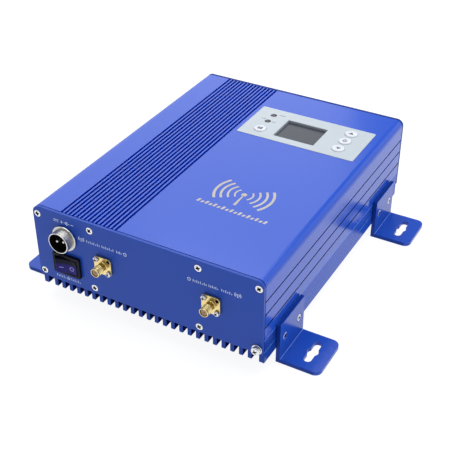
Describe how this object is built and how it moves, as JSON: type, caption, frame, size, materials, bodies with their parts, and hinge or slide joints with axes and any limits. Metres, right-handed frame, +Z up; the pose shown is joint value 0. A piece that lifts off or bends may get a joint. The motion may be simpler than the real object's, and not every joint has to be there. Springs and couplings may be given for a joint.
{
  "type": "cellular signal booster",
  "caption": "Finned aluminium case with screwed end plates, slotted mounting feet, round power socket, rocker switch, gold antenna sockets and a keypad with a small display.",
  "frame": {"origin": "centre of the overall bounding box in X and Y, on the plane of the feet's undersides", "axes": "+Z up, away from the mounting surface; the front plate with the sockets and switch faces -Y; +X is to the right seen from the front"},
  "size_m": [0.2244, 0.2302, 0.0735],
  "materials": {
    "case_blue": "blue anodised, satin",
    "plate_blue": "blue anodised, satin, brushed",
    "bracket_blue": "blue anodised sheet",
    "screw_steel": "bright zinc or stainless steel",
    "nickel_plate": "nickel plated brass",
    "black_plastic": "moulded black nylon",
    "gold_plate": "gold plated brass",
    "white_insulator": "white fluoropolymer",
    "overlay_film": "silver-grey printed film",
    "button_white": "white moulded cap",
    "display_glass": "dark display window",
    "lens_smoke": "dark translucent lens",
    "board_green": "green circuit board",
    "tinned_steel": "tinned sheet"
  },
  "bodies": {
    "case": {"top_cover": "case_blue", "heatsink_base": "case_blue", "front_panel": "plate_blue", "rear_panel": "plate_blue", "front_right_bracket": "bracket_blue", "front_left_bracket": "bracket_blue", "rear_right_bracket": "bracket_blue", "rear_left_bracket": "bracket_blue", "front_screw_1": "screw_steel", "front_screw_2": "screw_steel", "front_screw_3": "screw_steel", "front_screw_4": "screw_steel", "front_screw_5": "screw_steel", "front_screw_6": "screw_steel", "front_screw_7": "screw_steel", "rear_screw_1": "screw_steel", "rear_screw_2": "screw_steel", "rear_screw_3": "screw_steel", "rear_screw_4": "screw_steel", "rear_screw_5": "screw_steel", "rear_screw_6": "screw_steel", "front_right_bracket_screw_1": "screw_steel", "front_right_bracket_screw_2": "screw_steel", "front_left_bracket_screw_1": "screw_steel", "front_left_bracket_screw_2": "screw_steel", "rear_right_bracket_screw_1": "screw_steel", "rear_right_bracket_screw_2": "screw_steel", "rear_left_bracket_screw_1": "screw_steel", "rear_left_bracket_screw_2": "screw_steel", "earth_flat_washer": "screw_steel", "earth_spring_washer": "screw_steel", "earth_screw": "screw_steel", "outdoor_antenna_screw_1": "screw_steel", "outdoor_antenna_screw_2": "screw_steel", "indoor_antenna_screw_1": "screw_steel", "indoor_antenna_screw_2": "screw_steel", "power_socket_shell": "nickel_plate", "power_socket_pin_left": "nickel_plate", "power_socket_pin_right": "nickel_plate", "power_socket_nut": "nickel_plate", "power_socket_insert": "black_plastic", "switch_housing": "black_plastic", "outdoor_antenna_socket": "gold_plate", "indoor_antenna_socket": "gold_plate", "outdoor_antenna_insulator": "white_insulator", "indoor_antenna_insulator": "white_insulator", "keypad_overlay": "overlay_film", "display_module": "display_glass", "indicator_lens_1": "lens_smoke", "indicator_lens_2": "lens_smoke", "main_board": "board_green", "display_board": "board_green", "shield_can": "tinned_steel"},
    "rocker": {"switch_rocker": "black_plastic"},
    "menu_button": {"button_menu": "button_white"},
    "up_button": {"button_up": "button_white"},
    "enter_button": {"button_enter": "button_white"},
    "down_button": {"button_down": "button_white"}
  },
  "joints": [
    {"name": "rocker_hinge", "type": "hinge", "parent": "case", "child": "rocker", "pos_m": [-0.0585, -0.1035, 0.0344], "axis": [0, 0, -1], "range_deg": [0, 21]},
    {"name": "menu_button_press", "type": "slide", "parent": "case", "child": "menu_button", "axis": [0, 0, -1], "range_m": [0, 0.00035], "stiffness_N_per_m": 5000},
    {"name": "up_button_press", "type": "slide", "parent": "case", "child": "up_button", "axis": [0, 0, -1], "range_m": [0, 0.00035], "stiffness_N_per_m": 5000},
    {"name": "enter_button_press", "type": "slide", "parent": "case", "child": "enter_button", "axis": [0, 0, -1], "range_m": [0, 0.00035], "stiffness_N_per_m": 5000},
    {"name": "down_button_press", "type": "slide", "parent": "case", "child": "down_button", "axis": [0, 0, -1], "range_m": [0, 0.00035], "stiffness_N_per_m": 5000}
  ]
}
